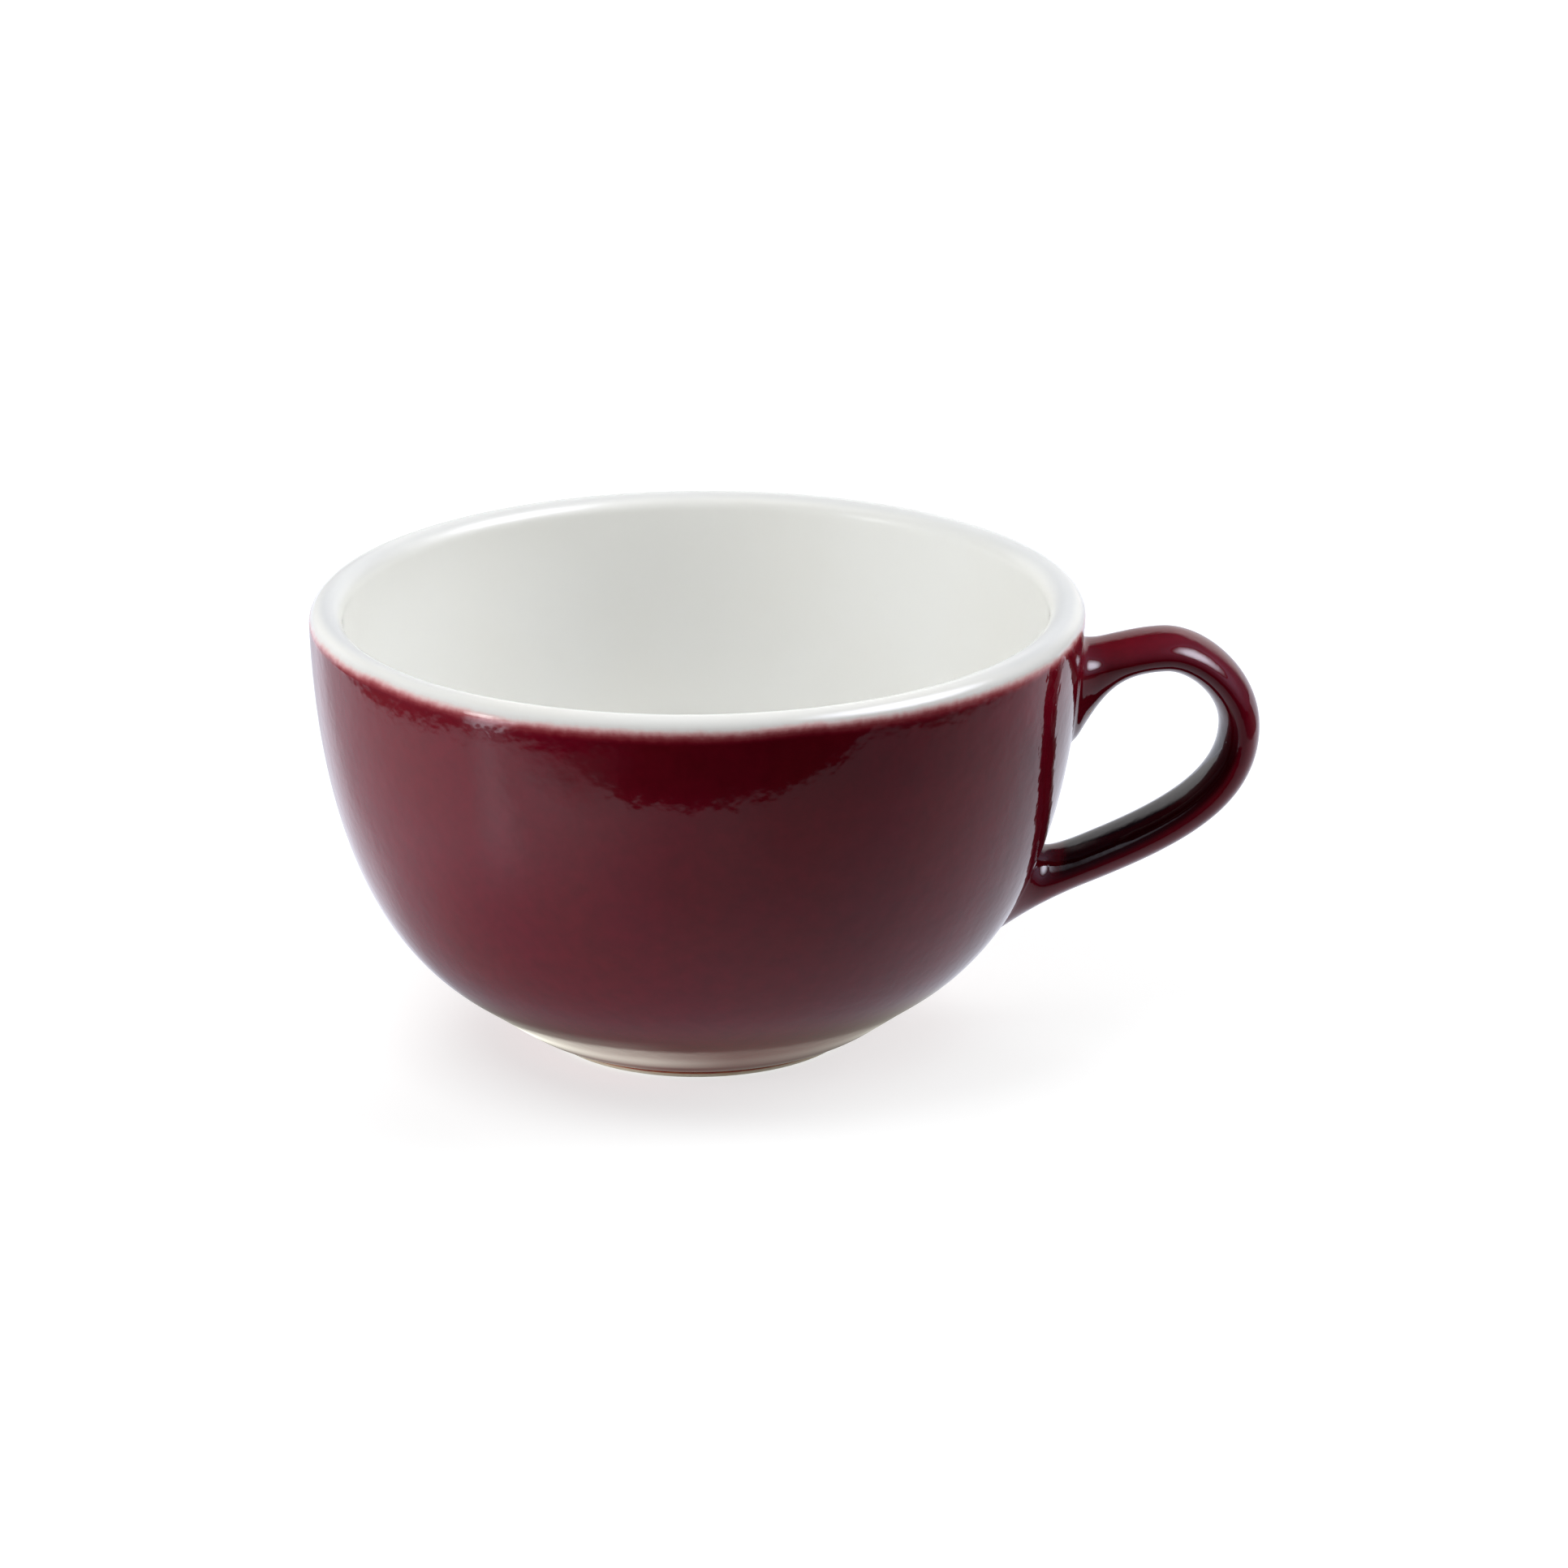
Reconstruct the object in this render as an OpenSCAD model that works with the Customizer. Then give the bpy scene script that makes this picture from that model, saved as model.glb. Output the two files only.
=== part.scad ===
// Cappuccino cup: a thick-walled porcelain bowl on a low foot ring, with a one-finger loop
// handle luted to its side, glazed white inside and burgundy outside.
// The cup stands on the plane z = 0, the bowl's axis is Z and the handle points along +X.
// Every outline is that of the finished, glazed surface. The fired clay lies one coat of
// glaze below it.

/* [Bowl] */
// Outside diameter at the rim
rim_d = 95; // [84:0.5:108]
// Height from the table to the top of the lip
cup_h = 55.7; // [50:0.1:62]
// Thickness of the rounded lip
lip_t = 4.1; // [3.4:0.1:4.8]
// Thickness of the wall at the heel, where the side turns under the bowl
heel_t = 4.6; // [4:0.1:6]
// Thickness of the floor above the foot's hollow
floor_t = 4.2; // [3:0.1:6]
// Outside diameter of the bowl at the heel
heel_d = 58; // [54:0.5:62]
// Height of the heel above the table
heel_h = 6.75; // [6:0.05:8]
// Slope of the outside at the heel, in degrees
heel_slope = 36.5; // [33:0.5:40]
// Slope of the underside where it leaves the foot ring, in degrees
underside_slope = 15; // [10:1:20]
// How far the side still leans outwards at the lip, in degrees
side_lean = 1.3; // [0.5:0.1:4]

/* [Foot ring] */
// Outside diameter of the foot ring at the table
foot_d = 39; // [37:0.5:42]
// Height of the foot ring's upright outer face
foot_h = 1.05; // [0.9:0.05:1.3]
// How much further out that face is at its top than at the table
foot_flare = 0.3; // [0.1:0.05:0.5]
// Radius of the foot ring's lower edges
foot_edge_r = 0.5; // [0.3:0.05:0.6]
// Width of the foot ring at the table, from its outside to the hollow
foot_w = 3.5; // [3:0.1:5]
// Height of the hollow at its edge
hollow_h = 2.4; // [1.9:0.1:3.2]
// How much higher the hollow is in the middle
hollow_dome = 0.4; // [0.1:0.1:0.8]
// Radius in the hollow's corner
hollow_corner_r = 0.9; // [0.6:0.1:1.2]

/* [Glaze] */
// Thickness of each coat of glaze
glaze_t = 0.3; // [0.2:0.05:0.4]
// Depth below the top of the lip at which the burgundy meets the white
glaze_line = 1.4; // [1:0.1:1.9]
// Height of the foot ring that is wiped bare of glaze
bare_foot_h = 0.6; // [0.5:0.05:0.8]

/* [Handle] */
// Thickness of the handle, measured in the plane of the loop
handle_t = 5; // [4:0.1:6]
// Width of the handle, across the loop
handle_w = 10.5; // [8:0.1:12]
// How far the handle reaches beyond the rim
handle_reach = 22.3; // [20:0.1:26]
// Depth of the handle's top below the top of the lip
handle_drop = 5.6; // [5:0.1:8]
// Distance from the rim's outside to the top of the arch
arch_out = 10.4; // [9:0.1:12]
// Depth of the handle's outermost point below the top of the arch
arch_fall = 10.1; // [8:0.1:12]
// Depth of the upper end's middle below the top of the lip
upper_root_drop = 10.1; // [9.3:0.1:10.9]
// Upward slope of the handle where it leaves the upper end, in degrees
upper_root_slope = 7; // [4:1:10]
// Height of the lower end's middle above the heel
lower_root_rise = 9.15; // [8.25:0.05:10.25]
// Slope of the tail where it runs into the bowl, in degrees
tail_slope = 21.5; // [18:0.5:25]
// Thickness of the layer of slip that joins each end to the bowl
slip_t = 0.5; // [0.35:0.05:0.7]

/* [Flares at the handle's ends] */
// Drop of the long flare under the upper end
upper_flare_under = 7; // [5:0.1:8]
// Distance from the bowl at which that flare starts
upper_flare_under_run = 9; // [7:0.1:11]
// Rise of the small flare over the upper end
upper_flare_over = 0.6; // [0.3:0.1:1.2]
// Drop of the flare under the lower end
lower_flare_under = 2; // [1:0.1:3]
// Rise of the flare over the lower end
lower_flare_over = 1.2; // [0.6:0.1:1.6]
// Distance from the bowl at which these two flares start
lower_flare_run = 7; // [5:0.1:8]
// Spread of each end to either side
side_flare = 1.6; // [1:0.1:2.2]
// Distance from the bowl at which the small flares over and beside the ends start
small_flare_run = 3.5; // [2.5:0.1:4.5]

/* [Hidden] */

// Segments round the bowl, and steps along the curves of its outline
$fn = 128;
underside_steps = 8;
side_steps = 30;
floor_steps = 12;
lip_steps = 18;
edge_steps = 5;

// Points round the handle's section, and steps along each of its three curves
section_steps = 24;
root_steps = 12;
arch_steps = 10;
tail_steps = 20;
// Power of the section's superellipse: 2 is an ellipse and more is squarer
section_power = 2.3;

// Lengths of the control arms, as shares of the sizes that they follow
heel_arm_share = 0.065;
side_arm_share = 0.82;
floor_heel_arm_share = 0.8;
floor_flat_share = 0.5;
root_arm_share = 0.44;
arch_inner_arm_share = 0.29;
arch_outer_arm_share = 0.44;
arch_fall_arm_share = 0.54;
tail_fall_arm_share = 0.535;
tail_run_arm_share = 0.535;
// How deep the handle's blank runs into the bowl's wall, as a share of the wall
root_depth_share = 0.45;
// How quickly the small flares and the long one rise towards the bowl
flare_power = 2.2;
long_flare_power = 3.2;
// How quickly the sections lean towards the bowl's wall
lean_power = 1.5;

rim_r = rim_d / 2;
foot_r = foot_d / 2;
hollow_r = foot_r - foot_w;
lip_r = lip_t / 2;
lip_centre = [rim_r - lip_r, cup_h - lip_r];
floor_z = hollow_h + hollow_dome + floor_t;
foot_lean = atan2(foot_flare, foot_h);

// Angle on the lip's round at which the burgundy stops
glaze_line_angle = asin((lip_r - glaze_line) / lip_r);

// Unit vector at an angle, and the vector a quarter turn to the right of it
function heading(a) = [cos(a), sin(a)];
function right_of(v) = [v.y, -v.x] / norm(v);

// A cubic curve through p[0] and p[3] with the arms p[1] and p[2], and its direction
function cubic(p, t) =
    pow(1 - t, 3) * p[0] + 3 * pow(1 - t, 2) * t * p[1]
    + 3 * (1 - t) * t * t * p[2] + pow(t, 3) * p[3];
function cubic_way(p, t) =
    pow(1 - t, 2) * (p[1] - p[0]) + 2 * (1 - t) * t * (p[2] - p[1]) + t * t * (p[3] - p[2]);

// A point of the curve, moved inwards by a depth
function inset(p, t, depth) = cubic(p, t) - depth * right_of(cubic_way(p, t));

// The bowl's outside: the underside from the foot ring to the heel, then the side
foot_top = [foot_r + foot_flare, foot_h];
heel = [heel_d / 2, heel_h];
side_top = lip_centre + lip_r * heading(-side_lean);
underside_arm = norm(heel - foot_top) / 3;
side_rise = side_top.y - heel.y;
underside = [
    foot_top,
    foot_top + underside_arm * heading(underside_slope),
    heel - underside_arm * heading(heel_slope),
    heel
];
side = [
    heel,
    heel + heel_arm_share * side_rise * heading(heel_slope),
    side_top - side_arm_share * side_rise * heading(90 - side_lean),
    side_top
];

// The corner between the foot ring's face and the underside, moved inwards by a depth
foot_face_out = heading(-foot_lean);
underside_out = right_of(heading(underside_slope));
function foot_corner(depth) =
    foot_top - depth * (foot_face_out + underside_out) / (1 + foot_face_out * underside_out);

// The foot ring's face at a height, moved inwards by a depth
function foot_face(z, depth) = [foot_r + foot_flare * z / foot_h - depth / cos(foot_lean), z];

// The outside from the foot ring to the lip, at a depth below the finished surface
function outside(depth) = concat(
    [foot_corner(depth)],
    [for (i = [1 : underside_steps]) inset(underside, i / underside_steps, depth)],
    [for (i = [1 : side_steps]) inset(side, i / side_steps, depth)]
);

// Part of the lip's round, between two angles
function lip_arc(depth, from, to) =
    [for (i = [1 : lip_steps]) lip_centre + (lip_r - depth) * heading(from + (to - from) * i / lip_steps)];

// Thickness of the wall at a place on the side: 0 is the heel and 1 the lip
function wall(t) = heel_t + (lip_t - heel_t) * t;

// The inside of the wall and the floor, from the lip down to the axis
floor_edge = inset(side, 0, heel_t);
floor_curve = [
    floor_edge,
    floor_edge - floor_heel_arm_share * (floor_edge.y - floor_z) / sin(heel_slope) * heading(heel_slope),
    [floor_flat_share * floor_edge.x, floor_z],
    [0, floor_z]
];
function inside(depth) = concat(
    [for (i = [side_steps - 1 : -1 : 0]) inset(side, i / side_steps, wall(i / side_steps) - depth)],
    [for (i = [1 : floor_steps - 1]) inset(floor_curve, i / floor_steps, depth)],
    [[0, floor_z - depth]]
);

// The hollow inside the foot ring, from the axis out and down to the bare edge
function hollow(depth) = concat(
    [[0, hollow_h + hollow_dome + depth]],
    [for (i = [0 : edge_steps])
        [hollow_r - hollow_corner_r, hollow_h - hollow_corner_r]
        + (hollow_corner_r + depth) * heading(90 - 90 * i / edge_steps)]
);

// Centres of the foot ring's two lower edges
outer_edge = foot_face(foot_edge_r, glaze_t) - [foot_edge_r / cos(foot_lean), 0];
inner_edge = [hollow_r + glaze_t + foot_edge_r, foot_edge_r];
function foot_land() = concat(
    [for (i = [0 : edge_steps]) inner_edge + foot_edge_r * heading(180 + 90 * i / edge_steps)],
    [for (i = [0 : edge_steps])
        outer_edge + foot_edge_r * heading(-90 + (90 - foot_lean) * i / edge_steps)]
);

// A filled bowl whose side lies at a depth, for cutting what meets it
module filled_bowl(depth) {
    rotate_extrude()
        polygon(concat([[0, foot_h]], outside(depth), [[0, side_top.y]]));
}

// Height and radius pairs of the finished outside, to find the bowl's radius at a height
outside_table = [for (p = outside(0)) [p.y, p.x]];
function bowl_r(z) = lookup(z, outside_table);
function wall_slope(z) =
    atan2(2 * lip_r, bowl_r(z + lip_r) - bowl_r(z - lip_r));

// The handle's middle line, in the plane y = 0, from inside the wall round to inside the wall
arch_top = [rim_r + arch_out, cup_h - handle_drop - handle_t / 2];
outermost = [rim_r + handle_reach - handle_t / 2, arch_top.y - arch_fall];
upper_root_h = cup_h - upper_root_drop;
lower_root_h = heel_h + lower_root_rise;
upper_root = [bowl_r(upper_root_h) - root_depth_share * lip_t, upper_root_h];
lower_root = [bowl_r(lower_root_h) - root_depth_share * heel_t, lower_root_h];
root_run = arch_top.x - upper_root.x;
arch_run = outermost.x - arch_top.x;
tail_fall = outermost.y - lower_root.y;
tail_run = outermost.x - lower_root.x;
root_curve = [
    upper_root,
    upper_root + root_arm_share * root_run * heading(upper_root_slope),
    arch_top - [arch_inner_arm_share * root_run, 0],
    arch_top
];
arch_curve = [
    arch_top,
    arch_top + [arch_outer_arm_share * arch_run, 0],
    outermost + [0, arch_fall_arm_share * arch_fall],
    outermost
];
tail_curve = [
    outermost,
    outermost - [0, tail_fall_arm_share * tail_fall],
    lower_root + tail_run_arm_share * tail_run * heading(tail_slope),
    lower_root
];

// Each station is a point of the middle line, its direction, and 1 on the upper half
stations = concat(
    [for (i = [0 : root_steps - 1]) let (t = i / root_steps)
        [cubic(root_curve, t), cubic_way(root_curve, t), 1]],
    [for (i = [0 : arch_steps - 1]) let (t = i / arch_steps)
        [cubic(arch_curve, t), cubic_way(arch_curve, t), 1]],
    [for (i = [0 : tail_steps]) let (t = i / tail_steps)
        [cubic(tail_curve, t), cubic_way(tail_curve, t), 0]]
);

// A height on the bowl between the two ends and their flares
between_ends_h = (upper_root_h - upper_flare_under + lower_root_h + lower_flare_over) / 2;

// A flare that grows from nothing at its run to its full size at the bowl
function flare(size, run, gap, power = flare_power) = size * pow(max(0, 1 - gap / run), power);

// How far a section leans along the handle so that the ends lie along the bowl's wall, and
// the distance from the bowl at which the lean starts
upper_lean = tan(90 - wall_slope(upper_root_h) + upper_root_slope);
lower_lean = tan(90 - wall_slope(lower_root_h) + tail_slope);
lean_run = handle_w;

// One section of the handle's blank, grown by a thickness of glaze
function section(station, grow) =
    let (
        middle = station[0],
        way = station[1] / norm(station[1]),
        upper = station[2] == 1,
        over = -right_of(way),
        gap = max(0, middle.x - bowl_r(middle.y)),
        lean = (upper ? upper_lean : lower_lean) * pow(max(0, 1 - gap / lean_run), lean_power),
        outer = handle_t / 2 - glaze_t + grow
            + (upper ? flare(upper_flare_over, small_flare_run, gap)
                : flare(lower_flare_under, lower_flare_run, gap)),
        inner = handle_t / 2 - glaze_t + grow
            + (upper ? flare(upper_flare_under, upper_flare_under_run, gap, long_flare_power)
                : flare(lower_flare_over, lower_flare_run, gap)),
        half_w = handle_w / 2 - glaze_t + grow + flare(side_flare, small_flare_run, gap)
    )
    [for (k = [0 : section_steps - 1])
        let (
            a = 360 * k / section_steps,
            c = sign(cos(a)) * pow(abs(cos(a)), 2 / section_power),
            s = sign(sin(a)) * pow(abs(sin(a)), 2 / section_power),
            off = c * (c > 0 ? outer : inner),
            p = middle + off * (over + lean * way)
        )
        [p.x, s * half_w, p.y]
    ];

// Faces between one ring of points and the next, with the rings' numbers counted from first
function skin(first, rings, turned) =
    [for (r = [0 : rings - 2], k = [0 : section_steps - 1], half = [0, 1])
        let (
            a = first + r * section_steps + k,
            b = first + r * section_steps + (k + 1) % section_steps,
            c = a + section_steps,
            d = b + section_steps,
            face = half == 0 ? [a, b, d] : [a, d, c]
        )
        turned ? [face[2], face[1], face[0]] : face
    ];

// The handle before its ends are cut to the bowl
module handle_blank(grow) {
    rings = [for (s = stations) section(s, grow)];
    last = (len(rings) - 1) * section_steps;
    polyhedron(
        points = [for (ring = rings, p = ring) p],
        faces = concat(
            [[for (k = [section_steps - 1 : -1 : 0]) k]],
            skin(0, len(rings), false),
            [[for (k = [0 : section_steps - 1]) last + k]]
        )
    );
}

// The coat of glaze round the handle, before its ends are cut to the bowl
module handle_coat_blank() {
    rings = [for (s = stations) section(s, glaze_t)];
    core = [for (s = stations) section(s, 0)];
    count = len(rings) * section_steps;
    last = count - section_steps;
    polyhedron(
        points = concat([for (ring = rings, p = ring) p], [for (ring = core, p = ring) p]),
        faces = concat(
            skin(0, len(rings), false),
            skin(count, len(rings), true),
            [for (k = [0 : section_steps - 1], half = [0, 1])
                let (n = (k + 1) % section_steps)
                half == 0 ? [k, count + k, count + n] : [k, count + n, n]],
            [for (k = [0 : section_steps - 1], half = [0, 1])
                let (n = (k + 1) % section_steps)
                half == 0 ? [last + k, last + n, count + last + n]
                    : [last + k, count + last + n, count + last + k]]
        )
    );
}

// The layer of slip on the bowl's clay, over the heights between two limits
module slip_layer(low, high) {
    clay = [for (p = outside(glaze_t)) if (p.y > low && p.y < high) p];
    face = [for (p = outside(glaze_t - slip_t)) if (p.y > low && p.y < high) p];
    rotate_extrude()
        polygon(concat(clay, [for (i = [len(face) - 1 : -1 : 0]) face[i]]));
}

// Porcelain bowl with its turned foot ring
module cup_body() {
    color("#efeee8")
        rotate_extrude()
            polygon(concat(
                hollow(glaze_t),
                foot_land(),
                outside(glaze_t),
                lip_arc(glaze_t, -side_lean, 180 - side_lean),
                inside(glaze_t)
            ));
}

// Cast porcelain handle, cut at both ends to stand on its slip
module handle() {
    color("#efeee8")
        difference() {
            handle_blank(0);
            filled_bowl(glaze_t - slip_t);
        }
}

// Slip between the bowl and the handle's upper end
module upper_slip_joint() {
    color("#e2ddd2")
        intersection() {
            handle_blank(0);
            slip_layer(between_ends_h, cup_h);
        }
}

// Slip between the bowl and the handle's lower end
module lower_slip_joint() {
    color("#e2ddd2")
        intersection() {
            handle_blank(0);
            slip_layer(heel_h, between_ends_h);
        }
}

// White glaze over the inside and the lip
module liner_glaze() {
    outer_skin = concat(lip_arc(0, glaze_line_angle, 180 - side_lean), inside(0));
    clay_skin = concat(lip_arc(glaze_t, glaze_line_angle, 180 - side_lean), inside(glaze_t));
    start = [
        lip_centre + (lip_r - glaze_t) * heading(glaze_line_angle),
        lip_centre + lip_r * heading(glaze_line_angle)
    ];
    color("#f4f4f0")
        rotate_extrude()
            polygon(concat(
                start,
                outer_skin,
                [for (i = [len(clay_skin) - 1 : -1 : 0]) clay_skin[i]]
            ));
}

// Burgundy glaze over the outside, from the foot ring to the line under the lip
module outer_glaze() {
    outer_skin = concat(
        [foot_face(bare_foot_h, 0)],
        outside(0),
        lip_arc(0, -side_lean, glaze_line_angle)
    );
    clay_skin = concat(
        [foot_face(bare_foot_h, glaze_t)],
        outside(glaze_t),
        lip_arc(glaze_t, -side_lean, glaze_line_angle)
    );
    color("#5a1020")
        difference() {
            rotate_extrude()
                polygon(concat(
                    outer_skin,
                    [for (i = [len(clay_skin) - 1 : -1 : 0]) clay_skin[i]]
                ));
            handle_blank(glaze_t);
        }
}

// Burgundy glaze over the handle and the edges of its two joints
module handle_glaze() {
    color("#5a1020")
        difference() {
            handle_coat_blank();
            filled_bowl(glaze_t);
        }
}

// Burgundy glaze in the hollow of the foot ring
module foot_hollow_glaze() {
    color("#5a1020")
        rotate_extrude()
            polygon(concat(
                hollow(0),
                [[hollow_r, bare_foot_h], [hollow_r + glaze_t, bare_foot_h]],
                [for (i = [edge_steps + 1 : -1 : 0]) hollow(glaze_t)[i]]
            ));
}

cup_body();
handle();
upper_slip_joint();
lower_slip_joint();
liner_glaze();
outer_glaze();
handle_glaze();
foot_hollow_glaze();
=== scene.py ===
"""Looks of the cappuccino cup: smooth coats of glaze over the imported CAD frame, and the studio."""

from math import cos, pi, radians, sin, tan

import bpy
import numpy as np
from mathutils import Matrix, Vector


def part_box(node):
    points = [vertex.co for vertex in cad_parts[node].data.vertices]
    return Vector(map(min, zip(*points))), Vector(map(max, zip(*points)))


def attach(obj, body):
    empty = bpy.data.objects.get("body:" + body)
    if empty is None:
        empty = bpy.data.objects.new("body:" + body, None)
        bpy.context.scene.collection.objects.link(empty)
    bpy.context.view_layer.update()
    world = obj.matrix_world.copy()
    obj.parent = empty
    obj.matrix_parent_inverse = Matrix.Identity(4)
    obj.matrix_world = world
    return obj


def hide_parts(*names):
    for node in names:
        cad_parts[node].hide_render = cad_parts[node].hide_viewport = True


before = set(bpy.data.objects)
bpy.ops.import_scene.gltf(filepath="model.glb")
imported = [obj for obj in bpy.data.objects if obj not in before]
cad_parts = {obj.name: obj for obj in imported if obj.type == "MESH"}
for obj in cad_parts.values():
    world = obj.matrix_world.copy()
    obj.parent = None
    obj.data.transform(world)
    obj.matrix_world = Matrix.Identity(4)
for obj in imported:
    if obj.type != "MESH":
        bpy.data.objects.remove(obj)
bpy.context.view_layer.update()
MM = 0.001

# Driving sizes in millimetres, the same as the CAD source's
rim_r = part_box("outer_glaze")[1].x / MM
cup_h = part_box("liner_glaze")[1].z / MM
lip_t, heel_t = 4.1, 4.6
side_lean = 1.3
heel_r, heel_h, heel_slope = 29.0, 6.75, 36.5
underside_slope = 15.0
foot_r, foot_h, foot_flare = 19.5, 1.05, 0.3
hollow_r, hollow_h, hollow_dome, hollow_corner_r = 16.0, 2.4, 0.4, 0.9
floor_z = 7.0
glaze_t, bare_foot_h, glaze_line = 0.3, 0.6, 1.4
handle_t, handle_w = 5.0, 10.5
handle_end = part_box("handle_glaze")[1].x / MM
handle_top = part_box("handle_glaze")[1].z / MM
arch_out, arch_fall = 10.4, 10.1
upper_root_h, upper_root_slope = 45.6, 7.0
lower_root_h, tail_slope = 15.9, 21.5
root_depth_share = 0.45

# Lengths of the curves' arms, as shares of the distance that each curve covers
heel_arm, lip_arm = 0.065, 0.82
root_arm, arch_in_arm, arch_out_arm, outermost_arm, tail_arm = 0.44, 0.29, 0.44, 0.54, 0.535

# Where the coats differ from the solids: a little thinner, the handle's rounder section, the evened
# heel, the rounding above the foot, and the rim's bulge above the handle
coat_t = 0.85 * glaze_t
section_power = 2.0
heel_softness = 1.7
soft_span, soft_rise, soft_fall = (2.4, 18), (2.6, 4.2), (17, 12)
foot_corner = 0.3
pull_out, pull_heights, pull_power = 0.32, (46.5, 54.5), 6

# How far below the lip's top the burgundy begins, by the angle round the rim from the handle
line_depths = (
    (-180, 1.30), (-148, 0.95), (-133, 1.22), (-122, 1.48), (-105, 1.28), (-88, 1.43), (-68, 1.30),
    (-52, 1.54), (-38, 1.85), (-28, 2.02), (-10, 1.75), (20, 1.80), (60, 1.40), (95, 1.55), (140, 1.25),
)

# Flares at the handle's ends: how far they stand out, and how far from the bowl they start
upper_flare_under, upper_flare_under_run = 7.0, 9.0
upper_flare_over = 0.6
lower_flare_under, lower_flare_over, lower_flare_run = 2.0, 1.2, 7.0
side_flare, small_flare_run = 1.6, 3.5
flare_power, long_flare_power, lean_power = 2.2, 3.2, 1.5

# Fillets of glaze where the handle meets the bowl
fillet_rise = 1.1
fillet_spread = 1.3
fillet_pull = 0.42

# Heights between which the bowl's grid has its windows for the handle's ends
lower_window, upper_window = (7.3, 25.0), (32.8, 52.3)

# Shares of painted shade, a darker burgundy, and the middle that the loop's inside faces
loop_middle = (56.0, 0.0, 34.0)
shade_in_loop, shade_on_handle, shade_under_lip = 0.95, 0.24, 0.28
shade_on_right, shade_by_handle = 0.20, 0.15

# Resolution of the meshes
columns = 256
window_half = 11
window_steps = 2 * window_half
section_steps = 4 * window_steps
tube_rings = 110
fillet_rings = 7
patch_rings = 5


def heading(angle):
    """Unit vector at an angle in degrees."""
    return np.array([cos(radians(angle)), sin(radians(angle))])


def unit(v):
    """Vectors with their lengths made 1."""
    return v / np.linalg.norm(v, axis=-1, keepdims=True)


def cubic(p, t):
    """Points of a cubic Bezier curve."""
    t = np.asarray(t, float)[..., None]
    return (1 - t) ** 3 * p[0] + 3 * (1 - t) ** 2 * t * p[1] + 3 * (1 - t) * t * t * p[2] + t**3 * p[3]


def cubic_way(p, t):
    """Unit directions of a cubic Bezier curve."""
    t = np.asarray(t, float)[..., None]
    way = (1 - t) ** 2 * (p[1] - p[0]) + 2 * (1 - t) * t * (p[2] - p[1]) + t * t * (p[3] - p[2])
    return unit(way)


def right_of(way):
    """The directions a quarter turn to the right."""
    return np.stack([way[..., 1], -way[..., 0]], -1)


def smooth_step(low, high, x):
    """0 up to one value and 1 from the other on, with a soft step between them."""
    t = np.clip((x - low) / (high - low), 0, 1)
    return t * t * (3 - 2 * t)


# Outline of the bowl, as in the CAD source
lip_r = lip_t / 2
lip_centre = np.array([rim_r - lip_r, cup_h - lip_r])
foot_top = np.array([foot_r + foot_flare, foot_h])
heel = np.array([heel_r, heel_h])
side_top = lip_centre + lip_r * heading(-side_lean)
underside_arm = np.linalg.norm(heel - foot_top) / 3
underside = [
    foot_top,
    foot_top + underside_arm * heading(underside_slope),
    heel - underside_arm * heading(heel_slope),
    heel,
]
side_rise = side_top[1] - heel_h
side = [
    heel,
    heel + heel_arm * side_rise * heading(heel_slope),
    side_top - lip_arm * side_rise * heading(90 - side_lean),
    side_top,
]
line_angle = np.degrees(np.arcsin((lip_r - glaze_line) / lip_r))


def arc(centre, radius, start, end, count):
    """Points of an arc between two angles in degrees."""
    return [centre + radius * heading(a) for a in np.linspace(start, end, count)]


def round_corner(before, corner, after, size, count=8):
    """A short curve in place of a corner between two directions."""
    start = corner + size * (before - corner) / np.linalg.norm(before - corner)
    end = corner + size * (after - corner) / np.linalg.norm(after - corner)
    t = np.linspace(0, 1, count)[:, None]
    return (1 - t) ** 2 * start + 2 * (1 - t) * t * corner + t * t * end


def outer_outline():
    """The outside's glazed surface: rolled edge, foot face, underside, side and lip."""
    face_low = np.array([foot_r + foot_flare * bare_foot_h / foot_h, bare_foot_h])
    roll = arc(face_low + [-glaze_t, glaze_t], glaze_t, -90, 0, 7)
    corner = round_corner(roll[-1], foot_top, underside[1], foot_corner)
    under = cubic(underside, np.linspace(0, 1, 240))
    under = under[np.linalg.norm(under - foot_top, axis=1) > foot_corner + 0.02]
    flank = cubic(side, np.linspace(0, 1, 900))[1:]
    lip = arc(lip_centre, lip_r, -side_lean, line_angle, 30)[1:]
    return soften_heel(np.vstack([roll, corner, under, flank, lip]))


def soften_heel(points):
    """The outline with its heel evened out, as glaze flows over it."""
    step = 0.1
    way = np.concatenate([[0], np.cumsum(np.linalg.norm(np.diff(points, axis=0), axis=1))])
    even = np.arange(0, way[-1], step)
    line = np.stack([np.interp(even, way, points[:, i]) for i in (0, 1)], -1)
    reach = np.arange(-3 * heel_softness, 3 * heel_softness + step, step)
    weights = np.exp(-0.5 * (reach / heel_softness) ** 2)
    weights = weights / weights.sum()
    soft = np.stack([np.convolve(line[:, i], weights, mode="same") for i in (0, 1)], -1)
    share = smooth_step(*soft_rise, line[:, 1]) * smooth_step(*soft_fall, line[:, 1])
    moved = line + share[:, None] * (soft - line)
    low, high = np.interp(soft_span, points[:, 1], way)
    middle = (even > low) & (even < high)
    return np.vstack([points[way <= low], moved[middle], points[way >= high]])


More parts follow.
